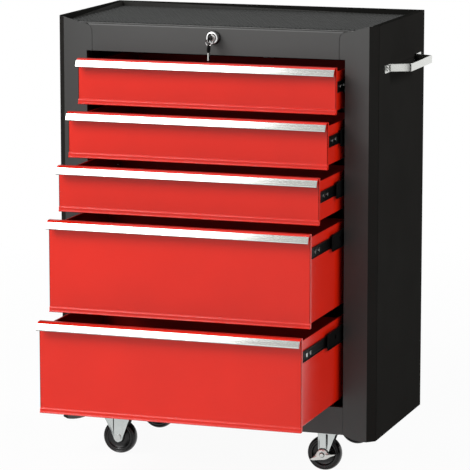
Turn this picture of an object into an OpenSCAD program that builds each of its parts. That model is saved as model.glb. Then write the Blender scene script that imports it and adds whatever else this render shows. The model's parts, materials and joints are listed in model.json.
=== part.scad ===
// Roller tool cabinet with five drawers on ball-bearing slides, a locking bar,
// a side handle, two fixed and two braked swivel casters.
// Lengths are millimetres. Inside the modules the cabinet's centre line is x = 0,
// the face of the cabinet is y = 0 (back is +y) and the floor is z = 0.

/* [Cabinet] */
// Width over the side panels
body_w = 615; // [540:1:760]
// Depth from the front face to the back face
body_d = 326; // [300:1:430]
// Height of the front above the drawer opening
header_h = 62; // [58:1:90]
// Height of the front below the drawer opening
plinth_h = 62; // [50:1:90]
// How far the cabinet's feet hang below its base
skirt_h = 16; // [12:1:20]
// Width of each front corner post, from the side panel to the drawer opening
post_w = 59; // [54:1:72]
// Leg of the bevel on the two front corners
bevel = 14; // [10:1:18]
// Thickness of the folded steel sheet
sheet = 1; // [0.8:0.1:1.3]
// Width of the raised rim round the top
rim_w = 9; // [6:1:11]
// Depth of the recessed top below its rim
rim_drop = 10.5; // [7:0.5:16]
// Length over which the front edge slopes down from the rim
slope_w = 35; // [20:1:38]
// Rise of the front's lower edge between the two feet
foot_lift = 10.5; // [6:0.5:15]
// Length of the curved slope at the inner end of each front foot
foot_run = 40; // [20:1:44]
// Depth of the folds round the drawer opening
fold_d = 14; // [10:1:16]
// Gap between each front corner post and its side panel
corner_seam = 1.6; // [0.6:0.1:2.2]
// Gap between the lock's panel and the front corner posts
header_seam = 1; // [0.6:0.1:1.4]
// Radius of the posts' upper inner corners, which the lock's panel fills
head_corner_r = 16; // [8:1:18]
// Thickness of the mat on the top
mat_t = 2; // [1.5:0.5:4]
// Distance of the mat's front edge behind the cabinet's face
mat_front = 12; // [10:1:24]

/* [Drawers] */
// Height of the three upper drawer fronts
small_h = 85; // [76:1:110]
// Height of the two lower drawer fronts
large_h = 169; // [120:1:220]
// Gap between two drawer fronts
front_gap = 7; // [5:1:10]
// Gap between the drawer stack and the ends of the opening
stack_margin = 9; // [6:1:14]
// Gap between a drawer front and the side of the opening
side_gap = 2.2; // [1.5:0.1:4]
// Gap between the side of the opening and the drawer box
slide_gap = 8.5; // [8.4:0.1:9.5]
// Depth of the hollow drawer front
front_t = 7; // [6:1:10]
// Drop from the top of a front to the top of the box sides
side_drop = 10; // [8:1:16]
// Drop from the top of a front to the top of the box's back
back_drop = 22; // [19:1:26]
// Rise of the box's floor above the lower edge of the front
floor_rise = 4; // [3:1:8]
// Height of the flared hem along the lower edge of a front
hem_h = 10; // [6:1:14]
// How far the hem stands proud of the front
hem_out = 3.5; // [1:0.5:5]
// Distance the top drawer stands open
first_pull = 48; // [0:1:60]
// Further distance each lower drawer stands open
pull_step = 50; // [0:1:50]

/* [Pull strips] */
// Distance the upper edge of a pull strip stands proud of the front
pull_top_out = 10.9; // [9:0.1:14]
// Distance the lower edge of a pull strip stands proud of the front
pull_low_out = 16.9; // [15:0.1:20]
// Drop from the top of a front to the upper edge of its pull strip
pull_top_drop = 2.7; // [2:0.1:4]
// Drop from the top of a front to the lower edge of its pull strip
pull_low_drop = 14.5; // [12:0.1:17]
// Thickness of the aluminium strip
pull_t = 1.2; // [1:0.1:1.5]

/* [Slides] */
// Drop from the top of a front to the centre of its slides
slide_drop = 38; // [34:1:44]
// Height of the rail on the drawer
drawer_rail_h = 20; // [16:1:22]
// Height of the cabinet's rail
cabinet_rail_h = 34.3; // [33:0.1:40]
// Thickness of the rails
rail_t = 1.2; // [1:0.1:1.4]
// Running gap between two nested rails
rail_gap = 0.35; // [0.3:0.05:0.5]
// Gap between a drawer's hollow front and its rails
drawer_rail_gap = 1; // [0.5:0.5:4]
// Distance of the cabinet rail behind the cabinet's face
cabinet_rail_y = 20; // [18:1:24]
// Distance of the middle rail behind the cabinet's face with the drawer shut
middle_rail_y = 36; // [34:1:60]
// Free length behind the rails inside the cabinet
rear_space = 26; // [26:1:34]
// Radius of the rail screws' shanks
screw_r = 2; // [1.5:0.1:2.5]

/* [Lock] */
// Height of the lock above the drawer opening
lock_up = 32; // [30:1:34]
// Radius of the turning plug
plug_r = 6.5; // [6:0.1:7]
// Radius of the threaded barrel behind the front
barrel_r = 9.4; // [9:0.1:10]
// Radius of the lock's ring
ring_r = 11; // [10.5:0.1:12]
// Distance the ring stands proud of the front
ring_out = 13; // [9:1:15]
// Radius of the rod from the plug to the back
rod_r = 3; // [2.5:0.1:3.5]
// Radius of the crank that lowers the locking bar
crank_r = 10; // [9:0.5:11]
// Width of the locking bar
bar_w = 20; // [16:1:24]
// Thickness of the locking bar
bar_t = 2; // [1.5:0.1:2.5]
// Thickness of the keys
key_t = 2.2; // [1.8:0.1:2.4]

/* [Handle] */
// Height of the handle's centre below the rim
handle_drop = 83; // [60:1:140]
// Centre of the handle behind the cabinet's face
handle_y = 171.5; // [165:0.5:230]
// Height of the handle strap
handle_h = 14; // [10:1:24]
// Thickness of the handle strap
handle_t = 2.5; // [2:0.5:4]
// Length of the grip
grip_len = 145; // [100:1:160]
// Distance of the grip's outer face from the side panel
grip_out = 38; // [32:1:50]
// Length that each slanting arm takes along the side
arm_run = 17; // [6:1:26]
// Length of each mounting foot
pad_len = 34; // [24:1:36]

/* [Casters] */
// Diameter of the wheels
wheel_d = 65; // [54:1:80]
// Width of the wheels
wheel_w = 22; // [18:1:24]
// Radius of the axles
axle_r = 4; // [3:0.5:5]
// Height of a caster's mounting face above the top of its wheel
head_h = 23; // [21:1:30]
// Distance of the fixed casters from the centre line
fixed_x = 208; // [180:1:220]
// Distance of the swivel casters' pivots from the centre line
swivel_x = 216; // [190:1:222]
// Distance of the caster centres from the front and back faces
caster_y = 56; // [52:1:80]
// Distance a swivel wheel trails behind its pivot
trail = 18; // [14:1:22]
// Width of a caster plate
plate_w = 70; // [66:1:76]
// Depth of a caster plate
plate_d = 60; // [58:1:66]
// Thickness of the caster plates
plate_t = 2.5; // [2:0.5:3]
// Spacing of the caster bolts across
bolt_x = 52; // [48:1:56]
// Spacing of the caster bolts front to back
bolt_y = 44; // [43:1:50]
// Radius of the caster bolts
bolt_r = 3; // [2.5:0.5:3.5]

/* [Hidden] */

$fn = 48;
// Clearance between pieces that slide past each other
slip = 0.3;
// Radial clearance of a turning pin
run_fit = 0.05;
// Clearance of a screw in its hole
hole_slack = 0.25;

// Hairline between sheets that are spot-welded together
weld_gap = 0.1;

// Cabinet outline
half_w = body_w / 2;
caster_h = wheel_d + head_h;
foot_gap = caster_h - skirt_h;
open_x = half_w - post_w;
open_h = 3 * small_h + 2 * large_h + 4 * front_gap + 2 * stack_margin;
open_z0 = foot_gap + plinth_h;
open_z1 = open_z0 + open_h;
top_z = open_z1 + header_h;
deck_z = top_z - rim_drop;
head_x = open_x - 10.5;
lap = 18;
back_y = body_d - 2 * sheet;
edge_r = 3;
base_top = caster_h + sheet;
upright_w = 40;
front_upright_y = bevel + lap + 1;
channel_t = 1.5;
channel_h = 14;
channel_x = (fixed_x + swivel_x) / 2;
channel_w = abs(swivel_x - fixed_x) + bolt_x + 4 * bolt_r + 2 * channel_t + 3;

// Drawer stack, counted from the top
heights = [small_h, small_h, small_h, large_h, large_h];
function height_above(k) = k == 0 ? 0 : height_above(k - 1) + heights[k - 1] + front_gap;
function front_top(k) = open_z1 - stack_margin - height_above(k);
function front_low(k) = front_top(k) - heights[k];
function rail_z(k) = front_top(k) - slide_drop;
function pull_out(k) = first_pull + k * pull_step;
front_x = open_x - side_gap;
box_x = open_x - slide_gap;
box_d = body_d - rear_space;
bead_r = 1.8;

// Pull strip, as a folded line seen from the side
pull_top = [-pull_top_out, -pull_top_drop];
pull_low = [-pull_low_out, -pull_low_drop];
pull_dir = (pull_low - pull_top) / norm(pull_low - pull_top);
pull_in = [-pull_dir[1], pull_dir[0]];
lip_out = 4.5;
hook_len = 4;

// Slides
rail_len = body_d - 40;
drawer_rail_y = front_t + drawer_rail_gap;
drawer_rail_len = box_d - drawer_rail_y - 5;
middle_rail_len = box_d - middle_rail_y;
drawer_rail_d = 3.4;
middle_web_u = drawer_rail_d + 0.8;
middle_in_h = drawer_rail_h + 2 * rail_gap;
middle_h = cabinet_rail_h - 2 * rail_t - 2 * rail_gap;
middle_out_u = slide_gap - 0.5;
cabinet_rail_u = slide_gap + 3.5;
cabinet_lip_u = middle_web_u + 0.4;
screw_places = [36, 58, drawer_rail_len - 16];

// Lock and locking bar
lock_z = open_z1 + lock_up;
bezel_r = ring_r + 1.5;
bezel_out = 5;
barrel_len = 22;
bar_y = back_y - 2 - bar_t;
crank_t = 3;
crank_y = bar_y - 7;
pin_r = 2.5;
head_w = 2 * crank_r + 16;
hook_drop = 8;
hook_reach = box_d - 8;
hook_clear = 2.5;
clip_half_h = 8;
bar_low = front_top(4) - back_drop - 6;

// Keys
key_eye = 2;
blade_h = 7.6;
bow_r = 9.5;
bow_y = -ring_out - 11;
eye_y = bow_y - 5.5;
wire_r = 0.7;
loop_r = 5.5;
eye_seat = key_eye - wire_r - 0.2;
loop_z = lock_z - eye_seat - loop_r;
spare_eye_z = loop_z - loop_r - eye_seat;
spare_tip_z = front_top(0) + 1.5;
spare_bow_r = 8;

// Handle
handle_z = top_z - handle_drop;
pad_y = grip_len / 2 + arm_run + pad_len / 2;
handle_screw_r = 2.5;

// Casters
wheel_r = wheel_d / 2;
leg_t = 2;
leg_gap = wheel_w / 2 + 2;
plate_z = caster_h - plate_t;
crown_z = wheel_d + 8;
crown_t = 3;
crown_r = 24;
kingpin_r = 5;
end_y = body_d - caster_y;

// ---- Helpers ---------------------------------------------------------------

function left_of(a, b) = let (d = (b - a) / norm(b - a)) [-d[1], d[0]];

// The other face of a bent sheet: the line p moved by t to its left, mitred
function other_face(p, t) = [
    for (i = [0 : len(p) - 1])
        let (a = left_of(p[max(i - 1, 0)], p[max(i, 1)]))
        let (b = i == len(p) - 1 ? a : left_of(p[i], p[i + 1]))
        p[i] + (a + b) * t / (1 + a * b)
];

// Outline of a sheet of thickness t bent along the line p
function folded(p, t) =
    let (q = other_face(p, t))
    concat(p, [for (i = [len(q) - 1 : -1 : 0]) q[i]]);

// Points on a round bend, from angle a to angle b
function bend(centre, r, a, b, n = 6) = [
    for (i = [0 : n]) centre + r * [cos(a + (b - a) * i / n), sin(a + (b - a) * i / n)]
];

// Moves the cabinet's working position to the middle of its floor plan
module place() {
    translate([-grip_out / 2, (pull_out(4) + pull_low_out - body_d) / 2, 0])
        children();
}

// A (y, z) outline pushed along x, an (x, z) one along y, an (x, y) one along z
module along_x(a, b) {
    translate([a, 0, 0]) rotate([90, 0, 90]) linear_extrude(b - a) children();
}
module along_y(a, b) {
    translate([0, b, 0]) rotate([90, 0, 0]) linear_extrude(b - a) children();
}
module along_z(a, b) {
    translate([0, 0, a]) linear_extrude(b - a) children();
}
module block(low, high) {
    translate(low) cube(high - low);
}
module rod_x(r, a, b, y, z) {
    translate([a, y, z]) rotate([0, 90, 0]) cylinder(r = r, h = b - a);
}
module rod_y(r, a, b, x, z) {
    translate([x, b, z]) rotate([90, 0, 0]) cylinder(r = r, h = b - a);
}
module on_left() {
    mirror([1, 0, 0]) children();
}
module both_sides() {
    children();
    on_left() children();
}

// ---- Cabinet shell ---------------------------------------------------------

// Right side panel with its back fold and bottom fold
module side_panel() {
    start = bevel + sheet + corner_seam;
    along_z(foot_gap, top_z - sheet)
        polygon(folded([[half_w, start], [half_w, body_d], [half_w - 16, body_d]], sheet));
    block([half_w - 15, bevel + lap + 2, foot_gap],
          [half_w, body_d - sheet / 2, foot_gap + sheet]);
}

module side_panel_left() {
    color([0.13, 0.13, 0.12]) place() on_left() side_panel();
}

module side_panel_right() {
    color([0.13, 0.13, 0.12]) place() difference() {
        side_panel();
        for (s = [-1, 1])
            rod_x(handle_screw_r + hole_slack, half_w - 5, half_w + 5,
                  handle_y + s * pad_y, handle_z);
    }
}

// Round corner between a post and the lock's panel, moved out by gap
function head_corner(gap) =
    bend([head_x + head_corner_r, deck_z - sheet - head_corner_r],
         head_corner_r + gap, 180, 90, 8);

// A front corner post: face, bevel, lap behind the side panel and opening fold
module front_post() {
    difference() {
        union() {
            along_z(foot_gap, top_z - sheet)
                polygon(folded([
                    [open_x, 0], [half_w - bevel, 0], [half_w, bevel],
                    [half_w - sheet, bevel + sheet], [half_w - sheet, bevel + lap]
                ], sheet));
            block([open_x, 0, open_z0], [open_x + sheet, fold_d, open_z1]);
            block([head_x, 0, open_z1], [open_x + sheet, sheet, deck_z - sheet]);
        }
        // slope of the top edge down to the recessed top
        along_y(-1, bevel - 1)
            polygon([
                [head_x - 1, deck_z - sheet], [half_w - bevel - slope_w, deck_z - sheet],
                [half_w - bevel, top_z - sheet], [half_w - bevel, top_z + 1],
                [head_x - 1, top_z + 1]
            ]);
        // rounded upper inner corner
        along_y(-1, bevel - 1)
            polygon(concat(
                [[head_x + head_corner_r, deck_z], [head_x - 1, deck_z],
                 [head_x - 1, deck_z - sheet - head_corner_r]],
                head_corner(0)
            ));
        // curved inner end of the foot
        along_y(-1, bevel - 1)
            polygon(concat(
                [[open_x + foot_run, foot_gap - 1], [open_x - 1, foot_gap - 1],
                 [open_x - 1, foot_gap + foot_lift]],
                [for (a = [0 : 15 : 90])
                    [open_x + foot_run * a / 90, foot_gap + foot_lift * (1 - sin(a))]]
            ));
    }
}

module front_post_left() {
    color([0.27, 0.27, 0.26]) place() on_left() front_post();
}

module front_post_right() {
    color([0.27, 0.27, 0.26]) place() front_post();
}

// Panel over the drawers, with the lock's hole and tabs behind the posts
module lock_panel() {
    edge_z = deck_z - sheet;
    tab_reach = 10;
    color([0.34, 0.34, 0.32]) place() difference() {
        union() {
            difference() {
                along_x(-head_x - head_corner_r, head_x + head_corner_r)
                    polygon(folded(concat(
                        [[fold_d, edge_z]],
                        bend([edge_r, edge_z - edge_r], edge_r, 90, 180),
                        [[0, open_z1], [fold_d, open_z1]]
                    ), sheet));
                both_sides() along_y(-1, fold_d + 1)
                    polygon(concat(
                        [[head_x + head_corner_r + 1, deck_z],
                         [head_x + head_corner_r + 1, open_z1 - 1],
                         [head_x - header_seam, open_z1 - 1]],
                        head_corner(header_seam)
                    ));
            }
            both_sides()
                block([head_x - tab_reach, sheet, open_z1 + 2],
                      [head_x + tab_reach, 2 * sheet, edge_z - edge_r]);
        }
        rod_y(barrel_r + run_fit * 2, -1, 3, 0, lock_z);
    }
}

// Panel under the drawers, with tabs behind the posts
module bottom_apron() {
    low = foot_gap + foot_lift;
    color([0.27, 0.27, 0.26]) place() {
        along_x(-open_x, open_x)
            polygon(folded([
                [fold_d, open_z0], [0, open_z0], [0, low], [12, low]
            ], sheet));
        both_sides()
            block([open_x - 12, sheet, low + 3], [open_x + 20, 2 * sheet, open_z0 - 3]);
    }
}

// Back panel between the side folds, with clips for the locking bar and a
// bracket that carries the end of the lock's rod
module back_panel() {
    leg_y = bar_y - 26;
    weld_y = back_y - weld_gap;
    strap_z = lock_z + crank_r + 3;
    color([0.13, 0.13, 0.12]) place() {
        block([-half_w + sheet, back_y, foot_gap + sheet],
              [half_w - sheet, back_y + sheet, top_z - sheet]);
        for (z = [front_low(0) + 30, front_low(2) + 30, front_low(3) + 30])
            difference() {
                block([-bar_w / 2 - 5, bar_y - slip - 1.5, z - clip_half_h],
                      [bar_w / 2 + 5, weld_y, z + clip_half_h]);
                block([-bar_w / 2 - slip, bar_y - slip, z - clip_half_h - 1],
                      [bar_w / 2 + slip, back_y, z + clip_half_h + 1]);
            }
        difference() {
            union() {
                block([-9, leg_y, strap_z], [9, weld_y, strap_z + 1.5]);
                block([-9, leg_y, lock_z - 8], [9, leg_y + 1.5, strap_z + 1.5]);
            }
            rod_y(rod_r + run_fit, leg_y - 1, leg_y + 3, 0, lock_z);
        }
    }
}

// Pressed top with a raised rim at the sides and back
module top_tray() {
    inner = half_w - rim_w;
    back = body_d - rim_w;
    edge_x = inner - sheet - weld_gap;
    edge_y = back - sheet - weld_gap;
    face = half_w - bevel;
    start = bevel - rim_w + 2.5 * sheet;
    color([0.16, 0.16, 0.15]) place() {
        along_z(deck_z - sheet, deck_z)
            polygon([
                [-face, edge_r], [face, edge_r], [edge_x, start], [edge_x, edge_y],
                [-edge_x, edge_y], [-edge_x, start]
            ]);
        along_z(deck_z - sheet, top_z)
            polygon(folded([
                [-inner, start], [-inner, back], [inner, back], [inner, start]
            ], -sheet));
        along_z(top_z - sheet, top_z)
            polygon([
                [-inner, bevel - rim_w], [-half_w, bevel], [-half_w, body_d],
                [half_w, body_d], [half_w, bevel], [inner, bevel - rim_w],
                [inner, back], [-inner, back]
            ]);
    }
}

module top_mat() {
    color([0.2, 0.2, 0.2]) place()
        block([-half_w + rim_w + sheet + 1, mat_front, deck_z],
              [half_w - rim_w - sheet - 1, body_d - rim_w - sheet - 1, deck_z + mat_t]);
}

// Floor of the cabinet, welded between the side panels
module base_floor() {
    edge = half_w - bevel - sheet;
    color([0.16, 0.16, 0.15]) place() difference() {
        union() {
            along_y(bevel + lap + 1, back_y)
                polygon(folded([
                    [half_w - sheet, caster_h - 12], [half_w - sheet, base_top],
                    [-half_w + sheet, base_top], [-half_w + sheet, caster_h - 12]
                ], sheet));
            block([-edge, 2 * sheet, caster_h], [edge, bevel + lap + 2, base_top]);
        }
        caster_holes(caster_h - 1, base_top + 1);
    }
}

// Stiffening channels under which the casters are bolted
module base_channels() {
    color([0.3, 0.3, 0.3]) place() difference() {
        both_sides()
            along_y(fold_d + 2, back_y)
                polygon(folded([
                    [channel_x - channel_w / 2, base_top + channel_h],
                    [channel_x - channel_w / 2, base_top],
                    [channel_x + channel_w / 2, base_top],
                    [channel_x + channel_w / 2, base_top + channel_h]
                ], channel_t));
        caster_holes(base_top - 1, base_top + channel_t + 1);
    }
}

// Four upright channels that carry the slides
module slide_uprights() {
    face = box_x + cabinet_rail_u;
    rear_y = box_d - upright_w - 8;
    color([0.2, 0.2, 0.2]) place() both_sides()
        for (y = [front_upright_y, rear_y])
            along_z(base_top, deck_z - sheet)
                polygon(folded([
                    [half_w - sheet, y + upright_w], [face, y + upright_w],
                    [face, y], [half_w - sheet, y]
                ], 1.2));
}

// ---- Slides ----------------------------------------------------------------

// Section of a rail in (x, z): web at u, height h, lips out to lip_u
module channel_section(u, lip_u, h) {
    side = sign(lip_u - u);
    translate([min(u, u + side * rail_t), -h / 2]) square([rail_t, h]);
    for (z = [-h / 2, h / 2 - rail_t])
        translate([min(u, lip_u), z]) square([abs(lip_u - u), rail_t]);
}

module cabinet_rails() {
    color([0.08, 0.08, 0.08]) place() both_sides()
        for (k = [0 : 4])
            translate([box_x, 0, rail_z(k)])
                along_y(cabinet_rail_y, cabinet_rail_y + rail_len)
                    channel_section(cabinet_rail_u, cabinet_lip_u, cabinet_rail_h);
}

// Pair of middle rails, half as far out as the drawer
module middle_rails(k) {
    lip = middle_web_u - 2.6;
    color([0.1, 0.1, 0.1]) place()
        translate([0, middle_rail_y - pull_out(k) / 2, rail_z(k)])
            both_sides() translate([box_x, 0, 0]) difference() {
                along_y(0, middle_rail_len) {
                    channel_section(middle_web_u, middle_out_u, middle_h);
                    for (s = [-1, 1])
                        translate([lip, s * (middle_in_h + rail_t) / 2 - rail_t / 2])
                            square([middle_web_u + rail_t - lip, rail_t]);
                }
                for (y = [50, middle_rail_len / 2, middle_rail_len - 40])
                    rod_x(4, 0, slide_gap, y, 0);
            }
}

// Pair of rails on the drawer box
module drawer_rails(k) {
    color([0.1, 0.1, 0.1]) place()
        translate([0, drawer_rail_y - pull_out(k), rail_z(k)])
            both_sides() translate([box_x, 0, 0]) difference() {
                along_y(0, drawer_rail_len)
                    channel_section(0, drawer_rail_d, drawer_rail_h);
                for (y = screw_places)
                    rod_x(screw_r + hole_slack, -1, slide_gap, y, 0);
            }
}

// Screws through the drawer rails and box sides, with their clinched ends
module drawer_screws(k) {
    color([0.6, 0.6, 0.6]) place()
        translate([0, drawer_rail_y - pull_out(k), rail_z(k)])
            both_sides() for (y = screw_places) {
                rod_x(screw_r, box_x - sheet - 2, box_x + rail_t + 1, y, 0);
                rod_x(screw_r * 1.9, box_x + rail_t, box_x + rail_t + 1.4, y, 0);
                rod_x(screw_r * 1.6, box_x - sheet - 2, box_x - sheet, y, 0);
            }
}

// ---- Drawers ---------------------------------------------------------------

// Folded front and open box of one drawer, welded together
module drawer_box(k) {
    h = heights[k];
    floor_z = -h + floor_rise;
    floor_x = box_x - sheet - weld_gap;
    wall_y = front_t - sheet - weld_gap;
    start_y = front_t + weld_gap;
    end_y = box_d - sheet - weld_gap;
    flange_top = pull_top + pull_in * pull_t;
    flange_low = pull_low + pull_in * pull_t - pull_dir * pull_t;
    color([0.82, 0.15, 0.12]) place()
        translate([0, -pull_out(k), front_top(k)]) {
            // inner wall, top and the flange that carries the pull strip
            along_x(-front_x, front_x)
                polygon(folded([
                    [front_t, floor_z], [front_t, 0], [-lip_out, 0],
                    flange_top, flange_low
                ], sheet));
            // face with its flared hem and folded ends
            along_x(-front_x, front_x)
                polygon(folded([
                    [0, -sheet - weld_gap], [0, -h + hem_h],
                    [-hem_out, -h + hem_h - hem_out], [-hem_out, -h], [4, -h]
                ], sheet));
            both_sides()
                block([front_x - sheet, 0, -h], [front_x, wall_y, -sheet - weld_gap]);
            // sides with their rolled upper edges
            both_sides() difference() {
                union() {
                    block([box_x - sheet, start_y, floor_z], [box_x, end_y, -side_drop]);
                    rod_y(bead_r, start_y, end_y, box_x - bead_r, -side_drop - bead_r);
                }
                for (y = screw_places)
                    rod_x(screw_r + hole_slack, box_x - 4, box_x + 1,
                          drawer_rail_y + y, -slide_drop);
            }
            // floor
            block([-floor_x, start_y, floor_z], [floor_x, end_y, floor_z + sheet]);
            block([-box_x, box_d - sheet, floor_z], [box_x, box_d, -back_drop]);
        }
}

// Aluminium pull strip clipped over the flange of the front
module drawer_pull(k) {
    wrap = 2 * pull_t + sheet;
    color([0.85, 0.87, 0.87]) place()
        translate([0, -pull_out(k), front_top(k)])
            along_x(-front_x, front_x)
                polygon(folded([
                    pull_top, pull_low, pull_low + pull_in * wrap,
                    pull_low + pull_in * wrap - pull_dir * hook_len
                ], pull_t));
}

// ---- Lock ------------------------------------------------------------------

// Fixed ring and barrel of the lock, with its hexagon nut
module lock_housing() {
    color([0.8, 0.8, 0.8]) place() {
        difference() {
            union() {
                rod_y(ring_r, -ring_out, 0, 0, lock_z);
                rod_y(bezel_r, -bezel_out, 0, 0, lock_z);
                rod_y(barrel_r, -1, barrel_len, 0, lock_z);
            }
            rod_y(plug_r + run_fit, -ring_out - 1, barrel_len + 1, 0, lock_z);
        }
        difference() {
            translate([0, sheet + 6, lock_z]) rotate([90, 0, 0])
                cylinder(r = 14, h = 6, $fn = 6);
            rod_y(barrel_r, 0, sheet + 7, 0, lock_z);
        }
    }
}

// Turning plug with its keyway
module lock_plug() {
    color([0.55, 0.56, 0.56]) place() difference() {
        rod_y(plug_r, -ring_out + 0.5, barrel_len + 1, 0, lock_z);
        block([-key_t / 2 - 0.1, -ring_out, lock_z - blade_h / 2 - slip],
              [key_t / 2 + 0.1, barrel_len - 8, lock_z + blade_h / 2 + slip]);
    }
}

// Rod from the plug to the back, with the crank pin that moves the bar
module lock_rod() {
    color([0.6, 0.6, 0.58]) place() {
        rod_y(rod_r, barrel_len + 1, crank_y + crank_t, 0, lock_z);
        block([0, crank_y, lock_z - rod_r], [crank_r, crank_y + crank_t, lock_z + rod_r]);
        rod_y(rod_r, crank_y, crank_y + crank_t, crank_r, lock_z);
        rod_y(pin_r, crank_y, bar_y + bar_t + 1, crank_r, lock_z);
    }
}

// Bar behind the drawers with one hook for each drawer's back
module lock_bar() {
    slot_low = pin_r + 0.5 + crank_r * 0.21;
    color([0.6, 0.6, 0.58]) place() {
        difference() {
            union() {
                block([-bar_w / 2, bar_y, bar_low],
                      [bar_w / 2, bar_y + bar_t, lock_z - crank_r - 8]);
                block([-head_w / 2, bar_y, lock_z - crank_r - 8],
                      [head_w / 2, bar_y + bar_t, lock_z + pin_r + 3]);
            }
            block([-pin_r - 1, bar_y - 1, lock_z - slot_low],
                  [crank_r + pin_r + 0.5, bar_y + bar_t + 1, lock_z + pin_r + 0.4]);
        }
        for (k = [0 : 4]) {
            leg_z = front_top(k) - back_drop + hook_clear;
            block([-bar_w / 2, hook_reach - bar_t, leg_z + hook_drop],
                  [bar_w / 2, bar_y + 0.5, leg_z + hook_drop + bar_t]);
            block([-bar_w / 2, hook_reach - bar_t, leg_z],
                  [bar_w / 2, hook_reach, leg_z + hook_drop + bar_t]);
        }
    }
}

// Key in the plug, its flat side upright, with the wire ring through its eye
module key() {
    color([0.1, 0.1, 0.1]) place() {
        difference() {
            along_x(-key_t / 2, key_t / 2) {
                translate([bow_y, lock_z - blade_h / 2])
                    square([barrel_len - 9.2 - bow_y, blade_h]);
                translate([bow_y, lock_z]) circle(r = bow_r);
            }
            rod_x(key_eye, -key_t, key_t, eye_y, lock_z);
        }
        translate([0, eye_y, loop_z]) rotate([90, 0, 0])
            rotate_extrude() translate([loop_r, 0]) circle(r = wire_r, $fn = 24);
    }
}

// Spare key hanging on the wire ring
module spare_key() {
    bow_z = spare_eye_z + key_eye + 1.5 - spare_bow_r;
    color([0.1, 0.1, 0.1]) place() difference() {
        along_x(-key_t / 2, key_t / 2) {
            translate([eye_y, bow_z]) circle(r = spare_bow_r);
            translate([eye_y - blade_h / 2, spare_tip_z])
                square([blade_h, bow_z - spare_tip_z]);
        }
        rod_x(key_eye, -key_t, key_t, eye_y, spare_eye_z);
    }
}

// ---- Handle ----------------------------------------------------------------

module side_handle() {
    a = grip_len / 2;
    b = a + arm_run;
    c = b + pad_len;
    color([0.8, 0.8, 0.8]) place() difference() {
        translate([half_w, handle_y, 0])
            along_z(handle_z - handle_h / 2, handle_z + handle_h / 2)
                polygon(folded([
                    [handle_t, -c], [handle_t, -b], [grip_out, -a],
                    [grip_out, a], [handle_t, b], [handle_t, c]
                ], handle_t));
        for (s = [-1, 1])
            rod_x(handle_screw_r + hole_slack, half_w - 1, half_w + handle_t + 1,
                  handle_y + s * pad_y, handle_z);
    }
}

// Round-headed screws with square nuts inside the side panel
module handle_screws() {
    head_r = 2.2 * handle_screw_r;
    color([0.75, 0.75, 0.75]) place()
        for (s = [-1, 1]) {
            y = handle_y + s * pad_y;
            rod_x(handle_screw_r, half_w - sheet - 5, half_w + handle_t + 1, y, handle_z);
            rod_x(head_r, half_w + handle_t, half_w + handle_t + 2.2, y, handle_z);
            block([half_w - sheet - 3.5, y - 4.5, handle_z - 4.5],
                  [half_w - sheet, y + 4.5, handle_z + 4.5]);
        }
}

// ---- Casters ---------------------------------------------------------------

module at_casters() {
    for (p = [[-fixed_x, caster_y], [-fixed_x, end_y],
              [swivel_x, caster_y], [swivel_x, end_y]])
        translate([p[0], p[1], 0]) children();
}

module at_bolts() {
    for (x = [-bolt_x / 2, bolt_x / 2], y = [-bolt_y / 2, bolt_y / 2])
        translate([x, y, 0]) children();
}

module caster_holes(a, b) {
    at_casters() at_bolts() translate([0, 0, a])
        cylinder(r = bolt_r + hole_slack, h = b - a);
}

// Hexagon bolts up through the caster plates, with their nuts
module caster_bolts() {
    nut_z = base_top + channel_t;
    color([0.6, 0.6, 0.6]) place() at_casters() at_bolts() {
        translate([0, 0, plate_z - 4]) cylinder(r = 2 * bolt_r, h = 4, $fn = 6);
        translate([0, 0, plate_z - 1]) cylinder(r = bolt_r, h = nut_z - plate_z + 9);
        translate([0, 0, nut_z]) cylinder(r = 2 * bolt_r, h = 5, $fn = 6);
    }
}

// Plate of a caster with its four bolt holes
module caster_plate() {
    difference() {
        block([-plate_w / 2, -plate_d / 2, plate_z], [plate_w / 2, plate_d / 2, caster_h]);
        at_bolts() translate([0, 0, plate_z - 1])
            cylinder(r = bolt_r + hole_slack, h = plate_t + 2);
    }
}

// Leg of a fork in (x, z): wide at the top, round at the axle
module leg_section(left, right, top, boss_r) {
    polygon([
        [left, top], [left, top - 12], [-boss_r * 0.94, wheel_r - 2],
        [boss_r * 0.94, wheel_r - 2], [right, top - 12], [right, top]
    ]);
    translate([0, wheel_r]) circle(r = boss_r);
}

module fork_legs(left, right, top, boss_r, rib_w) {
    for (s = [-1, 1])
        translate([0, s * (leg_gap + leg_t / 2), 0]) {
            along_y(-leg_t / 2, leg_t / 2) leg_section(left, right, top, boss_r);
            // pressed rib on the outside of the leg
            translate([0, s * 0.6, 0]) along_y(-leg_t / 2, leg_t / 2) {
                translate([-rib_w / 2, wheel_r]) square([rib_w, top - wheel_r]);
                translate([0, wheel_r]) circle(r = rib_w / 2);
            }
        }
}

module axle_bore() {
    reach = leg_gap + 12;
    rod_y(axle_r + run_fit, -reach, reach, 0, wheel_r);
}

// Plate and fork of each fixed caster, one pressing
module fixed_forks() {
    color([0.75, 0.77, 0.77]) place()
        for (y = [caster_y, end_y])
            translate([-fixed_x, y, 0]) {
                difference() {
                    union() {
                        caster_plate();
                        fork_legs(-31, 23, plate_z, 9, 15);
                    }
                    axle_bore();
                }
            }
}

// Axle bolt with a round head outside the front leg and a nut at the back
module axle(head_gap) {
    out = leg_gap + leg_t + 0.6;
    rod_y(axle_r, -out - head_gap - 1, out + 1, 0, wheel_r);
    rod_y(1.7 * axle_r, -out - head_gap - 2.5, -out - head_gap, 0, wheel_r);
    translate([0, out + 4, wheel_r]) rotate([90, 0, 0])
        cylinder(r = 1.8 * axle_r, h = 4, $fn = 6);
}

module fixed_axles() {
    color([0.7, 0.71, 0.71]) place()
        for (y = [caster_y, end_y])
            translate([-fixed_x, y, 0]) axle(0);
}

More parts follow.
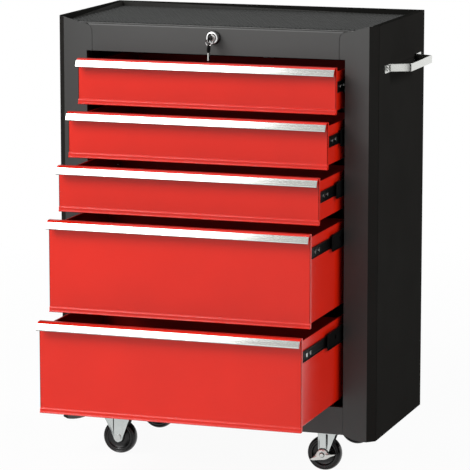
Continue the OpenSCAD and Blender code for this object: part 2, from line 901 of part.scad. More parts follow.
// Fixed plates of the swivel casters with their ball-race housing and kingpin
module swivel_plates() {
    pin_end = crown_z - slip;
    color([0.75, 0.77, 0.77]) place()
        for (y = [caster_y, end_y])
            translate([swivel_x, y, 0]) {
                caster_plate();
                translate([0, 0, crown_z + crown_t + slip])
                    cylinder(r = 20, h = plate_z - crown_z - crown_t - slip);
                translate([0, 0, pin_end - 1])
                    cylinder(r = kingpin_r, h = plate_z - pin_end + 1);
                translate([0, 0, pin_end - 3]) cylinder(r = kingpin_r + 4, h = 3);
            }
}

// Turning fork of a swivel caster, its wheel trailing towards the fixed side
module swivel_fork(y) {
    color([0.75, 0.77, 0.77]) place() translate([swivel_x, y, 0]) difference() {
        union() {
            along_z(crown_z, crown_z + crown_t) {
                circle(r = crown_r);
                translate([-trail - 11, -leg_gap - leg_t])
                    square([trail + 11, 2 * (leg_gap + leg_t)]);
            }
            translate([-trail, 0, 0])
                fork_legs(-11, trail + 6, crown_z + crown_t, 9, 12);
        }
        translate([0, 0, crown_z - 1]) cylinder(r = kingpin_r + run_fit, h = crown_t + 2);
        translate([-trail, 0, 0]) axle_bore();
    }
}

module swivel_axle(y) {
    color([0.7, 0.71, 0.71]) place() translate([swivel_x - trail, y, 0])
        axle(2 + 2 * slip);
}

// Stamped brake lever that turns on the axle outside the front leg
module brake(y) {
    face = -leg_gap - leg_t - 0.6 - slip;
    color([0.85, 0.85, 0.85]) place() translate([swivel_x - trail, y, 0]) difference() {
        union() {
            along_y(face - 2, face) {
                translate([0, wheel_r]) circle(r = 9);
                polygon([
                    [0, wheel_r + 7], [-10, wheel_r - 2], [-26, wheel_r - 9],
                    [-25, wheel_r - 13], [0, wheel_r - 8.5], [8, wheel_r - 5],
                    [26, wheel_r - 1], [27, wheel_r + 2], [9, wheel_r + 3]
                ]);
            }
            // tread for the toe, bent forward at the lower wing
            block([-26, face - 9, wheel_r - 13], [-14, face, wheel_r - 11.2]);
        }
        rod_y(axle_r + run_fit, face - 10, face + 2, 0, wheel_r);
    }
}

// Solid wheel with a rounded tread and a dished side
module wheel(x, y) {
    half = wheel_w / 2;
    soft = 4;
    color([0.06, 0.06, 0.06]) place() translate([x, y, wheel_r]) rotate([90, 0, 0])
        rotate_extrude($fn = 96) difference() {
            union() {
                translate([axle_r + run_fit, -half])
                    square([wheel_r - soft - axle_r - run_fit, wheel_w]);
                translate([wheel_r - soft - 1, soft - half])
                    square([soft + 1, wheel_w - 2 * soft]);
                for (s = [-1, 1])
                    translate([wheel_r - soft, s * (half - soft)]) circle(r = soft);
            }
            for (s = [-1, 1])
                translate([wheel_r * 0.38, s * half - 2.2]) square([wheel_r * 0.3, 4.4]);
        }
}

// ---- Drawing ---------------------------------------------------------------

side_panel_left();
side_panel_right();
back_panel();
top_tray();
top_mat();
lock_panel();
front_post_left();
front_post_right();
bottom_apron();
base_floor();
base_channels();
slide_uprights();
cabinet_rails();
side_handle();
handle_screws();
lock_housing();
lock_plug();
lock_rod();
lock_bar();
key();
spare_key();
drawer_box(0);  // drawer_1_box
drawer_box(1);  // drawer_2_box
drawer_box(2);  // drawer_3_box
drawer_box(3);  // drawer_4_box
drawer_box(4);  // drawer_5_box
drawer_pull(0);  // drawer_1_pull
drawer_pull(1);  // drawer_2_pull
drawer_pull(2);  // drawer_3_pull
drawer_pull(3);  // drawer_4_pull
drawer_pull(4);  // drawer_5_pull
drawer_rails(0);  // drawer_1_rails
drawer_rails(1);  // drawer_2_rails
drawer_rails(2);  // drawer_3_rails
drawer_rails(3);  // drawer_4_rails
drawer_rails(4);  // drawer_5_rails
middle_rails(0);  // middle_rails_1
middle_rails(1);  // middle_rails_2
middle_rails(2);  // middle_rails_3
middle_rails(3);  // middle_rails_4
middle_rails(4);  // middle_rails_5
drawer_screws(0);  // drawer_1_screws
drawer_screws(1);  // drawer_2_screws
drawer_screws(2);  // drawer_3_screws
drawer_screws(3);  // drawer_4_screws
drawer_screws(4);  // drawer_5_screws
caster_bolts();
fixed_forks();
fixed_axles();
swivel_plates();
swivel_fork(caster_y);  // swivel_fork_front
swivel_fork(end_y);  // swivel_fork_rear
swivel_axle(caster_y);  // swivel_axle_front
swivel_axle(end_y);  // swivel_axle_rear
brake(caster_y);  // brake_front
brake(end_y);  // brake_rear
wheel(-fixed_x, caster_y);  // wheel_left_front
wheel(-fixed_x, end_y);  // wheel_left_rear
wheel(swivel_x - trail, caster_y);  // wheel_right_front
wheel(swivel_x - trail, end_y);  // wheel_right_rear
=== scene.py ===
# %% [markdown]
# # Finishing a five-drawer tool cabinet
#
# The cabinet was drawn in CAD first: sheet-steel shell, drawers on slides, lock, handle
# and casters. This lesson gives it its looks. Each part below says what the piece is on
# the real cabinet, how it could be made in Blender, and why it is made the way it is.

# %% Load the measured frame
import json
import math

import bmesh
import bpy
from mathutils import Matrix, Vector


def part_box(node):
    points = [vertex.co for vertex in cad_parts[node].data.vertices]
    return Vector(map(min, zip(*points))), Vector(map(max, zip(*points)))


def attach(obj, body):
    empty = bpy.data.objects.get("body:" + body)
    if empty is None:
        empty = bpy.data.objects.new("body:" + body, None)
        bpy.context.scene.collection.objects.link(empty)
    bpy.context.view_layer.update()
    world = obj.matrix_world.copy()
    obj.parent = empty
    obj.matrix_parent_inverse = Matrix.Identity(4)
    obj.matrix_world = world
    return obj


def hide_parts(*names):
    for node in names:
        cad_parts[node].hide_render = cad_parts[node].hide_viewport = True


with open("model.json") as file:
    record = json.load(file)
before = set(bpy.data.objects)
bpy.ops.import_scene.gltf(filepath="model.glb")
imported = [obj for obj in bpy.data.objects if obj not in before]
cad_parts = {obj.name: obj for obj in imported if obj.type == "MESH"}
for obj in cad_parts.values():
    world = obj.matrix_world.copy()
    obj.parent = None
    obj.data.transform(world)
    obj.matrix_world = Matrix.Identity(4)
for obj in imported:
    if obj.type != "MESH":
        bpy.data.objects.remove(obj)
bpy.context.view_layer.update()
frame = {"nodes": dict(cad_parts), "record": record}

nodes = frame["nodes"]
mm = 0.001

# %% [markdown]
# ## Where things are
#
# Pieces could be placed by typed numbers, but then they would drift from the CAD. So the
# two side panels give the cabinet's width and centre line, the lock panel gives the face,
# and the back panel gives the depth. Every later piece asks the frame for the box of the
# CAD node that it belongs to.

# %% Find the cabinet's own edges
left_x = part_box("side_panel_left")[0].x
right_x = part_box("side_panel_right")[1].x
face_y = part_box("lock_panel")[0].y
back_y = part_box("back_panel")[1].y
feet_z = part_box("side_panel_right")[0].z
middle_x = (left_x + right_x) / 2
print("width", round((right_x - left_x) / mm, 1), "depth", round((back_y - face_y) / mm, 1))

# %% [markdown]
# ## The camera
#
# A long lens far away keeps the cabinet's upright edges almost parallel, as a catalogue
# picture does. The camera stands to the right of the cabinet and a little above it, so
# that the drawer fronts, the right side and the recessed top all show. It is placed by
# two angles and a distance from a point inside the cabinet, because angles are easy to
# reason about.

# %% Set up the camera
bpy.context.scene.view_settings.view_transform = "Standard"
view_azimuth = math.radians(18.64)
view_elevation = math.radians(9.893)
camera_distance = 5.5639
lens_mm = 225.80
sensor_mm = 36
aim_height = 400 * mm
aim_right = -13.744 * mm
aim_up = -57.294 * mm

toward_camera = Vector((
    math.sin(view_azimuth) * math.cos(view_elevation),
    -math.cos(view_azimuth) * math.cos(view_elevation),
    math.sin(view_elevation),
))
camera_right = Vector((math.cos(view_azimuth), math.sin(view_azimuth), 0))
camera_up = toward_camera.cross(camera_right)
target = Vector((middle_x, (face_y + back_y) / 2, feet_z + aim_height))
camera_data = bpy.data.cameras.new("catalogue_lens")
camera_data.lens = lens_mm
camera_data.sensor_width = sensor_mm
camera = bpy.data.objects.new("camera", camera_data)
camera.location = (target + toward_camera * camera_distance
                   + camera_right * aim_right + camera_up * aim_up)
camera.rotation_mode = "QUATERNION"
camera.rotation_quaternion = (-toward_camera).to_track_quat("-Z", "Y")
bpy.context.scene.collection.objects.link(camera)
bpy.context.scene.camera = camera
print("camera at", [round(v, 3) for v in camera.location])

# %% [markdown]
# ## The room
#
# A catalogue picture has no horizon. The world looks white to the camera and in
# reflections, while the light that it gives back to the cabinet stays low. A Light Path
# node tells the two kinds of ray apart, so white costs no extra light.

# %% Make the world
def shown_or_mirrored(tree):
    """1 for rays that come from the camera, from a mirror-like surface or through glass."""
    path = tree.nodes.new("ShaderNodeLightPath")
    first = tree.nodes.new("ShaderNodeMath")
    first.operation = "MAXIMUM"
    second = tree.nodes.new("ShaderNodeMath")
    second.operation = "MAXIMUM"
    tree.links.new(path.outputs["Is Camera Ray"], first.inputs[0])
    tree.links.new(path.outputs["Is Glossy Ray"], first.inputs[1])
    tree.links.new(first.outputs[0], second.inputs[0])
    tree.links.new(path.outputs["Is Transmission Ray"], second.inputs[1])
    return second.outputs[0]


def white_background(tree, strength):
    background = tree.nodes.new("ShaderNodeBackground")
    background.inputs["Color"].default_value = (1, 1, 1, 1)
    background.inputs["Strength"].default_value = strength
    return background.outputs[0]


room_light = 0.20
shown_white = 1.0
world = bpy.data.worlds.new("white_room")
world.use_nodes = True
bpy.context.scene.world = world
sky = world.node_tree
sky.nodes.clear()
choose = sky.nodes.new("ShaderNodeMixShader")
world_out = sky.nodes.new("ShaderNodeOutputWorld")
sky.links.new(shown_or_mirrored(sky), choose.inputs["Fac"])
sky.links.new(white_background(sky, room_light), choose.inputs[1])
sky.links.new(white_background(sky, shown_white), choose.inputs[2])
sky.links.new(choose.outputs[0], world_out.inputs["Surface"])
print("room light", room_light)

# %% [markdown]
# ## The floor's finish
#
# The floor is white paper. Near the cabinet, a small share of its white still depends on
# the lamps, which is what keeps a soft shadow. Further out it turns to an even white, so
# that no edge of the paper shows. A spherical gradient measures the distance. The same
# Light Path helper keeps the glow out of the light that the floor throws on the cabinet.

# %% Mix the floor's finish
shadow_reach = 2.4
shadow_share = 0.05
full_share_at = 0.6
paper_white = 0.8
floor_finish = bpy.data.materials.new("white_floor")
floor_finish.use_nodes = True
tree = floor_finish.node_tree
tree.nodes.clear()
paper = tree.nodes.new("ShaderNodeBsdfDiffuse")
paper.inputs["Color"].default_value = (paper_white, paper_white, paper_white, 1)
glow = tree.nodes.new("ShaderNodeEmission")
glow.inputs["Strength"].default_value = shown_white
coords = tree.nodes.new("ShaderNodeTexCoord")
shrink = tree.nodes.new("ShaderNodeMapping")
shrink.inputs["Scale"].default_value = (1 / shadow_reach,) * 3
near = tree.nodes.new("ShaderNodeTexGradient")
near.gradient_type = "SPHERICAL"
share = tree.nodes.new("ShaderNodeMapRange")
share.inputs["From Max"].default_value = full_share_at
share.inputs["To Min"].default_value = 1.0
share.inputs["To Max"].default_value = 1.0 - shadow_share
lift = tree.nodes.new("ShaderNodeMath")
lift.operation = "MULTIPLY"
mixed = tree.nodes.new("ShaderNodeMixShader")
out = tree.nodes.new("ShaderNodeOutputMaterial")
for source, target in (
        (coords.outputs["Object"], shrink.inputs["Vector"]),
        (shrink.outputs["Vector"], near.inputs["Vector"]),
        (near.outputs["Fac"], share.inputs["Value"]),
        (shown_or_mirrored(tree), lift.inputs[0]),
        (share.outputs["Result"], lift.inputs[1]),
        (lift.outputs[0], mixed.inputs["Fac"]),
        (paper.outputs[0], mixed.inputs[1]),
        (glow.outputs[0], mixed.inputs[2]),
        (mixed.outputs[0], out.inputs["Surface"])):
    tree.links.new(source, target)
print("floor finish nodes:", len(tree.nodes))

# %% [markdown]
# ## The floor
#
# The floor itself is one large sheet, wide enough that its far edge is never seen.

# %% Lay the floor
floor_size = 30.0
bpy.ops.mesh.primitive_plane_add(size=floor_size, location=(middle_x, 0, 0))
floor = bpy.context.object
floor.name = "floor"
floor.data.materials.append(floor_finish)
print("floor", floor_size, "m across")

# %% [markdown]
# ## The lamps
#
# Three soft boxes light the cabinet. The main one hangs in front, to the left and high,
# where the tilted aluminium strips mirror it. It faces almost straight back, so that its
# edge ends the shine at the same place on every strip. A wide one further out fills the
# drawer fronts, and one at the right lifts the drawers' sides.

# %% Hang the soft boxes
def soft_box(name, place, look_at, width, height, power):
    data = bpy.data.lights.new(name, "AREA")
    data.shape = "RECTANGLE"
    data.size = width
    data.size_y = height
    data.energy = power
    lamp = bpy.data.objects.new(name, data)
    lamp.location = place
    lamp.rotation_mode = "QUATERNION"
    lamp.rotation_quaternion = (Vector(look_at) - Vector(place)).to_track_quat("-Z", "Y")
    bpy.context.scene.collection.objects.link(lamp)


soft_box("main_light", place=(-1.95, -2.2, 2.7), look_at=(-1.55, 0.08, 0.84),
         width=2.1, height=1.8, power=128)
soft_box("front_light", place=(-1.6, -3.9, 1.7), look_at=(0, 0, 0.45),
         width=2.4, height=1.6, power=24)
soft_box("side_light", place=(3.4, 0.5, 2.3), look_at=(0.2, 0.0, 0.4),
         width=1.2, height=1.6, power=80)

# %% [markdown]
# ## Two black cards
#
# In a studio, a black card stands at each side of a shiny thing, so that its bent edges
# mirror something dark and read as edges. These stand close to the cabinet's sides.
# Only mirror-like rays see them: they throw no shadow, and the camera looks past them.
# A window at the handle's height keeps the handle's front arm bright, and the strip of
# card behind the window draws a dark line on the bend of its grip.

# %% Stand the cards beside the cabinet
card_gap = 60 * mm
card_front, card_back, card_top = face_y - 200 * mm, face_y + 100 * mm, 1000 * mm
window_front, window_back = face_y - 6 * mm, face_y + 66 * mm
window_low, window_top = 690 * mm, 775 * mm

black_felt = bpy.data.materials.new("black_felt")
black_felt.use_nodes = True
felt = black_felt.node_tree.nodes["Principled BSDF"]
felt.inputs["Base Color"].default_value = (0, 0, 0, 1)
felt.inputs["Specular IOR Level"].default_value = 0


def stand_card(name, x):
    """A card in the four strips that are left round its window."""
    strips = [(card_front, window_front, 0, card_top),
              (window_front, window_back, 0, window_low),
              (window_front, window_back, window_top, card_top),
              (window_back, card_back, 0, card_top)]
    corners, faces = [], []
    for y0, y1, z0, z1 in strips:
        first = len(corners)
        corners += [(x, y0, z0), (x, y1, z0), (x, y1, z1), (x, y0, z1)]
        faces.append([first + i for i in range(4)])
    mesh = bpy.data.meshes.new(name)
    mesh.from_pydata(corners, [], faces)
    mesh.materials.append(black_felt)
    card = bpy.data.objects.new(name, mesh)
    bpy.context.scene.collection.objects.link(card)
    card.visible_camera = False
    card.visible_diffuse = False
    card.visible_shadow = False
    card.visible_transmission = False


stand_card("right_card", right_x + card_gap)
stand_card("left_card", left_x - card_gap)
print("cards stand", round(card_gap / mm), "mm away")

# %% [markdown]
# ## Helpers for finishes
#
# Every finish here is a Principled shader with a few noise patterns. The patterns live
# in each piece's own space, so they stay put when a drawer moves.

# %% Helpers for finishes
def new_finish(name, colour, roughness, metallic=0.0, specular=0.5):
    finish = bpy.data.materials.new(name)
    finish.use_nodes = True
    shader = finish.node_tree.nodes["Principled BSDF"]
    shader.inputs["Base Color"].default_value = (*colour, 1)
    shader.inputs["Roughness"].default_value = roughness
    shader.inputs["Metallic"].default_value = metallic
    shader.inputs["Specular IOR Level"].default_value = specular
    return finish, finish.node_tree, shader


def object_place(tree, stretch=(1, 1, 1)):
    """Coordinates that stay with the piece, stretched where a grain runs one way."""
    coords = tree.nodes.new("ShaderNodeTexCoord")
    mapping = tree.nodes.new("ShaderNodeMapping")
    mapping.inputs["Scale"].default_value = stretch
    tree.links.new(coords.outputs["Object"], mapping.inputs["Vector"])
    return mapping.outputs["Vector"]


def noise(tree, place, scale, detail):
    grain = tree.nodes.new("ShaderNodeTexNoise")
    grain.inputs["Scale"].default_value = scale
    grain.inputs["Detail"].default_value = detail
    tree.links.new(place, grain.inputs["Vector"])
    return grain.outputs["Fac"]


print("pattern helpers ready")

# %% [markdown]
# ## From pattern to finish
#
# A noise pattern does nothing by itself. It is turned into a gloss that swings a little
# round its value, a colour that is a little darker and lighter, or the height of a bump.

# %% Helpers that drive a shader
def bumpy(tree, shader, height, strength, distance):
    bump = tree.nodes.new("ShaderNodeBump")
    bump.inputs["Strength"].default_value = strength
    bump.inputs["Distance"].default_value = distance
    tree.links.new(height, bump.inputs["Height"])
    tree.links.new(bump.outputs["Normal"], shader.inputs["Normal"])


def ranged(tree, value, low, high):
    """Turns a 0-1 pattern into values from low to high."""
    spread = tree.nodes.new("ShaderNodeMapRange")
    spread.inputs["To Min"].default_value = low
    spread.inputs["To Max"].default_value = high
    tree.links.new(value, spread.inputs["Value"])
    return spread.outputs["Result"]


def shade(colour, factor):
    return tuple(min(1.0, c * factor) for c in colour)


def two_tones(tree, value, colour, spread):
    """Turns a pattern into a colour that is a little darker or lighter than it is written."""
    ramp = tree.nodes.new("ShaderNodeValToRGB")
    tones = ((0.3, shade(colour, 1 - spread)), (0.7, shade(colour, 1 + spread)))
    for stop, (position, tone) in zip(ramp.color_ramp.elements, tones):
        stop.position = position
        stop.color = (*tone, 1)
    tree.links.new(value, ramp.inputs["Fac"])
    return ramp.outputs["Color"]


print("shader helpers ready")

# %% [markdown]
# ## Paints
#
# The shell and drawers are powder coated: paint blown on as dust and baked, which leaves
# a very fine orange peel. Fine noise in the bump gives the peel, and slow noise in the
# colour and the gloss stops large panels from looking like plastic. The fronts of the
# posts are shinier than the sides. The drawers get three reds: the bright front, and two
# darker copies of it that are painted shade, one for the lip over the pull strip and one
# for the inside.

# %% Mix the paints
cloud_scale = 9
gloss_scale = 60
gloss_swing = 0.04
peel_strength = 0.4


def powder_coat(name, colour, roughness, specular, peel_mm, depth_mm, spread=0.06):
    """Baked paint: a fine orange-peel surface and a slightly uneven tone and gloss.

    peel_mm is the size of the peel's bumps, depth_mm their height.
    """
    finish, tree, shader = new_finish(name, colour, roughness, specular=specular)
    place = object_place(tree)
    tree.links.new(two_tones(tree, noise(tree, place, cloud_scale, 2), colour, spread),
                   shader.inputs["Base Color"])
    tree.links.new(ranged(tree, noise(tree, place, gloss_scale, 3),
                          roughness - gloss_swing, roughness + gloss_swing),
                   shader.inputs["Roughness"])
    bumpy(tree, shader, noise(tree, place, 1 / (peel_mm * mm), 2), peel_strength,
          depth_mm * mm)
    return finish


post_paint = powder_coat("charcoal_paint", (0.012, 0.0118, 0.0105), 0.54, 0.80, 1.6, 0.04)
side_paint = powder_coat("black_side_paint", (0.016, 0.0155, 0.0145), 0.5, 0.0, 1.2, 0.04)
inner_paint = powder_coat("inside_paint", (0.012, 0.012, 0.011), 0.6, 0.2, 1.6, 0.04)
deck_paint = powder_coat("deck_paint", (0.02, 0.02, 0.018), 0.3, 0.5, 1.6, 0.04)
drawer_paint = powder_coat("red_paint", (0.70, 0.014, 0.003), 0.18, 0.38, 1.6, 0.02, 0.03)
# Painted shade: the inside and lip reds are darker copies of the front's red.
drawer_inside_shade = powder_coat("red_inside_shade", (0.30, 0.003, 0.002), 0.45, 0.2, 1.6, 0.02, 0.03)
drawer_lip_shade = powder_coat("red_lip_shade", (0.36, 0.006, 0.003), 0.30, 0.3, 1.6, 0.02, 0.03)
# Painted shade: a darker copy of the deck paint for the rim's walls.
rim_shade_paint = powder_coat("rim_shade_paint", (0.012, 0.012, 0.011), 0.6, 0.0, 1.6, 0.02)
slide_paint = powder_coat("slide_black", (0.003, 0.003, 0.003), 0.35, 0.12, 2.0, 0.02)
print("paints:", len(bpy.data.materials))

# %% [markdown]
# ## Metals
#
# Drawn and plated metal has a grain that runs one way. Stretching the noise along the
# grain gives those fine lines to the gloss and the bump at once.

# %% Make the metals
smoother, rougher = 0.03, 0.04
metal_spread = 0.05
grain_depth = 0.02 * mm


def brushed_metal(name, colour, roughness, grain, relief=0.15, metallic=1.0):
    """Metal with lines along the axis whose number in grain is the smallest."""
    finish, tree, shader = new_finish(name, colour, roughness, metallic)
    lines = noise(tree, object_place(tree, grain), 1, 3)
    tree.links.new(ranged(tree, lines, roughness - smoother, roughness + rougher),
                   shader.inputs["Roughness"])
    tree.links.new(two_tones(tree, lines, colour, metal_spread), shader.inputs["Base Color"])
    bumpy(tree, shader, lines, relief, grain_depth)
    return finish


pull_metal = brushed_metal("anodised_aluminium", (0.40, 0.405, 0.385), 0.10, (3, 900, 900),
                           relief=0.05)
handle_metal = brushed_metal("handle_metal", (0.66, 0.67, 0.64), 0.26, (30, 30, 700))
zinc = brushed_metal("zinc_steel", (0.55, 0.57, 0.56), 0.30, (120, 120, 120))
blade_steel = brushed_metal("blade_steel", (0.48, 0.48, 0.46), 0.25, (900, 900, 40))
plug_face = brushed_metal("plug_face", (0.90, 0.90, 0.88), 0.42, (60, 60, 60), metallic=0.0)
lever_metal = brushed_metal("lever_metal", (0.62, 0.62, 0.60), 0.30, (200, 200, 200))
galvanised = brushed_metal("galvanised_steel", (0.55, 0.58, 0.57), 0.20, (25, 25, 60))
bright_zinc = brushed_metal("bright_zinc", (0.85, 0.85, 0.83), 0.12, (200, 200, 200))
chrome = brushed_metal("chrome", (0.80, 0.80, 0.80), 0.09, (60, 60, 60))
# Painted shade: a near-black metal that stands for shade on the levers and round the lock's
# ring.
painted_shade_metal = brushed_metal("painted_shade_metal", (0.05, 0.05, 0.05), 0.25, (200, 200, 200))
print("metals added:", len(bpy.data.materials))

# %% [markdown]
# ## Plastics and rubber
#
# The key heads are moulded plastic, the wheels are hard black rubber, and the mat on the
# top is soft rubber, which is the most matt of the three.

# %% Make plastic and rubber
key_plastic = powder_coat("key_black", (0.003, 0.003, 0.003), 0.35, 0.1, 1.2, 0.02)
tread_rubber = powder_coat("tread_rubber", (0.004, 0.004, 0.004), 0.26, 0.40, 0.8, 0.02)
mat_rubber = powder_coat("mat_rubber", (0.031, 0.032, 0.031), 0.7, 0.06, 0.8, 0.03)
print("all finishes:", len(bpy.data.materials))

# %% [markdown]
# ## Dressing the CAD nodes
#
# Flat sheet-metal pieces keep their exact CAD meshes. A Weld modifier joins the faces
# and a small Bevel rounds their edges, because a real edge always catches a thin line of
# light. The meshes themselves aren't touched. Most nodes take the finish of their
# material slot, and a few take one of their own.

# %% Dress the CAD nodes
slot_finish = {
    "dark_paint": post_paint, "red_paint": drawer_paint, "pull_aluminium": pull_metal,
    "slide_black": slide_paint, "zinc_steel": zinc, "bright_screw": bright_zinc,
    "handle_metal": handle_metal, "lock_chrome": chrome, "key_black": key_plastic,
    "wheel_rubber": tread_rubber, "mat": mat_rubber,
}
special = {
    "side_panel_left": side_paint, "side_panel_right": side_paint, "back_panel": post_paint,
    "top_tray": deck_paint, "base_floor": inner_paint, "base_channels": inner_paint,
    "slide_uprights": inner_paint, "lock_plug": plug_face,
}
slots = {s["node"]: s["material_slot"] for s in frame["record"]["subparts"]}
edge_radius = 0.5 * mm
weld_distance = 0.01 * mm


def soften_edges(piece, width, segments=2, angle=35):
    soften = piece.modifiers.new("soft_edges", "BEVEL")
    soften.width = width
    soften.segments = segments
    soften.limit_method = "ANGLE"
    soften.angle_limit = math.radians(angle)
    soften.harden_normals = True


for name, piece in nodes.items():
    piece.data.materials.clear()
    piece.data.materials.append(special.get(name, slot_finish[slots[name]]))
    weld = piece.modifiers.new("join_faces", "WELD")
    weld.merge_threshold = weld_distance
    soften_edges(piece, edge_radius)
print("dressed", len(nodes), "nodes")

# %% [markdown]
# ## The rim of the top
#
# The rim round the recessed top is rolled sheet. It gets a darker, duller copy of the
# deck's paint, painted shade on the rim's walls, so it reads as a dark frame. It belongs to
# the same CAD node as the deck. So its faces, which are those well above the mat, get a
# second material.

# %% Paint the rim
tray = nodes["top_tray"]
tray.data.materials.append(rim_shade_paint)
rim_over_mat = 1 * mm
rim_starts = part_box("top_mat")[1].z + rim_over_mat
# Faces above the mat get the darker copy: painted shade on the rim.
for tray_face in tray.data.polygons:
    if (tray.matrix_world @ tray_face.center).z > rim_starts:
        tray_face.material_index = 1
print("rim faces:", sum(f.material_index for f in tray.data.polygons))

# %% [markdown]
# ## The bevels of the front posts
#
# Each front post is bevelled at its outer corner. The bevel is where the side's coat ends,
# so it is as dull and dark as the side panel and sets off the lighter front. Its faces are
# the upright ones that look half forward and half sideways.

# %% Paint the bevels
slanting = 0.4
for post in (nodes["front_post_left"], nodes["front_post_right"]):
    post.data.materials.append(side_paint)
    for post_face in post.data.polygons:
        if min(abs(post_face.normal.x), abs(post_face.normal.y)) > slanting:
            post_face.material_index = 1
    print(post.name, "bevel faces:", sum(f.material_index for f in post.data.polygons))

# %% [markdown]
# ## A helper for bent sheet
#
# Most of this cabinet is sheet metal folded along straight lines. A fold is never sharp:
# the sheet turns round a small radius, and that radius is what shines. So one helper
# takes the folded line, gives it a thickness, and rounds each fold with two arcs that
# share a centre.

# %% Helper for bent sheet
def turned_left(step):
    return Vector((-step.y, step.x)).normalized()


def fillet(points, radii, steps=5):
    """The line with each inner corner replaced by an arc of its own radius."""
    line = [points[0]]
    for before, corner, after, radius in zip(points, points[1:], points[2:], radii):
        arrive = (corner - before).normalized()
        leave = (after - corner).normalized()
        turn = arrive.angle_signed(leave)
        reach = radius * math.tan(abs(turn) / 2)
        side = -1 if arrive.x * leave.y - arrive.y * leave.x < 0 else 1
        centre = corner - arrive * reach + turned_left(arrive) * radius * side
        start = corner - arrive * reach - centre
        for i in range(steps + 1):
            angle = side * abs(turn) * i / steps
            line.append(centre + Vector((
                start.x * math.cos(angle) - start.y * math.sin(angle),
                start.x * math.sin(angle) + start.y * math.cos(angle))))
    line.append(points[-1])
    return line


def bent_sheet(points, thickness, *radius):
    """Outline of a sheet that lies to the left of a folded line, with round folds.

    One radius serves every fold, or each fold gets its own.
    """
    radii = radius if len(radius) > 1 else radius * (len(points) - 2)
    points = [Vector(p) for p in points]
    other, near_radii, far_radii = [], [], []
    for i, point in enumerate(points):
        arrive = points[max(i, 1)] - points[max(i, 1) - 1]
        leave = points[min(i + 1, len(points) - 1)] - points[min(i, len(points) - 2)]
        a, b = turned_left(arrive), turned_left(leave)
        other.append(point + (a + b) * thickness / (1 + a.dot(b)))
        if 0 < i < len(points) - 1:
            inside_left = arrive.x * leave.y - arrive.y * leave.x > 0
            near_radii.append(radii[i - 1] + thickness * inside_left)
            far_radii.append(radii[i - 1] + thickness * (not inside_left))
    return fillet(points, near_radii) + fillet(other, far_radii)[::-1]


print("sheet bender ready")

# %% [markdown]
# ## From outline to solid
#
# A rolled or folded section is the same all along its length, so a solid is made by
# pushing its outline along one axis. Two small helpers draw the plainest outlines.

# %% Helpers for outlines
def push(mesh, outline, axis, start, end):
    """Adds a closed solid: an outline pushed from start to end along x, y or z."""
    def corner(p, at):
        return {"x": (at, p[0], p[1]), "y": (p[0], at, p[1]), "z": (p[0], p[1], at)}[axis]
    first = [mesh.verts.new(corner(p, start)) for p in outline]
    last = [mesh.verts.new(corner(p, end)) for p in outline]
    mesh.faces.new(first)
    mesh.faces.new(last[::-1])
    for i in range(len(outline)):
        mesh.faces.new((first[i - 1], last[i - 1], last[i], first[i]))


def rectangle(low, high):
    return [(low[0], low[1]), (high[0], low[1]), (high[0], high[1]), (low[0], high[1])]


def ring_of(radius, centre=(0, 0), count=24):
    return [(centre[0] + radius * math.cos(math.tau * i / count),
             centre[1] + radius * math.sin(math.tau * i / count)) for i in range(count)]


print("outline helpers ready")

# %% [markdown]
# ## Handing a piece over
#
# Each new piece ends the same way: near points join, its faces turn outward, smooth
# shading stops at sharp edges, the piece is parented to the body that it rides on, and
# the CAD nodes that it replaces are hidden.

# %% Helper for finishing a piece
join_distance = 0.002 * mm


def finish_piece(name, mesh, finish, body, slot, *replaced, sharp=30):
    """Closes a mesh in the making, shades it and hands it to its body."""
    bmesh.ops.remove_doubles(mesh, verts=mesh.verts, dist=join_distance)
    bmesh.ops.recalc_face_normals(mesh, faces=mesh.faces)
    data = bpy.data.meshes.new(name)
    mesh.to_mesh(data)
    mesh.free()
    data.shade_smooth()
    data.set_sharp_from_angle(angle=math.radians(sharp))
    data.materials.append(finish)
    piece = bpy.data.objects.new(name, data)
    bpy.context.scene.collection.objects.link(piece)
    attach(piece, body)
    if replaced:
        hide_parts(*replaced)
    return piece


print("finishing helper ready")

# %% [markdown]
# ## Where each drawer is
#
# All five drawers are made from the same sizes, and only the place and the height of the
# front change. The CAD box of a drawer gives both.

# %% Place the drawers
sheet = 1.0 * mm
weld_gap = 0.1 * mm
drawer_length = 300 * mm


def drawer_place(n):
    """Face, upper edge, half width and height of a drawer's front."""
    low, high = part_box(f"drawer_{n}_box")
    return high.y - drawer_length, high.z, (high.x - low.x) / 2, high.z - low.z


def moved(points, dy, dz):
    return [(p[0] + dy, p[1] + dz) for p in points]


print("front heights in mm:", [round(drawer_place(n)[3] / mm) for n in range(1, 6)])

# %% [markdown]
# ## The two sheets of a front
#
# Each front is two folded sheets, spot-welded to an open box. The outer sheet steps out
# twice along its lower edge, once at the top of the hem and once at the roll below it,
# and the inner sheet carries the flange for the aluminium strip. The points are written
# as (depth, height) from the top of the front's face, which is how a bender reads them.

# %% Draw the sheets of a front
fold_radius = 0.7 * mm
front_depth = 7 * mm
floor_rise = 4 * mm
hem_height = 10 * mm
hem_out = 3.5 * mm
hem_radius = 0.6 * mm
hem_return = 4 * mm
roll_height = 3.4 * mm
lip_out = 4.5 * mm
strip_thickness = 1.2 * mm
strip_top = Vector((-10.9, -2.7)) * mm
strip_low = Vector((-16.9, -14.5)) * mm
down_strip = (strip_low - strip_top).normalized()
into_strip = turned_left(down_strip)
flange_top = strip_top + into_strip * strip_thickness
flange_low = strip_low + into_strip * strip_thickness - down_strip * strip_thickness


def front_outlines(height):
    """Sections of the inner sheet with its flange and of the outer sheet with its hem."""
    inner = bent_sheet([(front_depth, -height + floor_rise), (front_depth, 0),
                        (-lip_out, 0), flange_top, flange_low], sheet, fold_radius)
    hem_top, roll_top = -height + hem_height, -height + roll_height
    step = hem_out / 2
    skin = bent_sheet([(0, -sheet - weld_gap), (0, hem_top), (-step, hem_top - step),
                       (-step, roll_top), (-hem_out, roll_top - step),
                       (-hem_out, -height), (hem_return, -height)],
                      sheet, hem_radius, hem_radius, hem_radius, hem_radius, fold_radius)
    return inner, skin


print("strip is", round((strip_low - strip_top).length / mm, 1), "mm high")
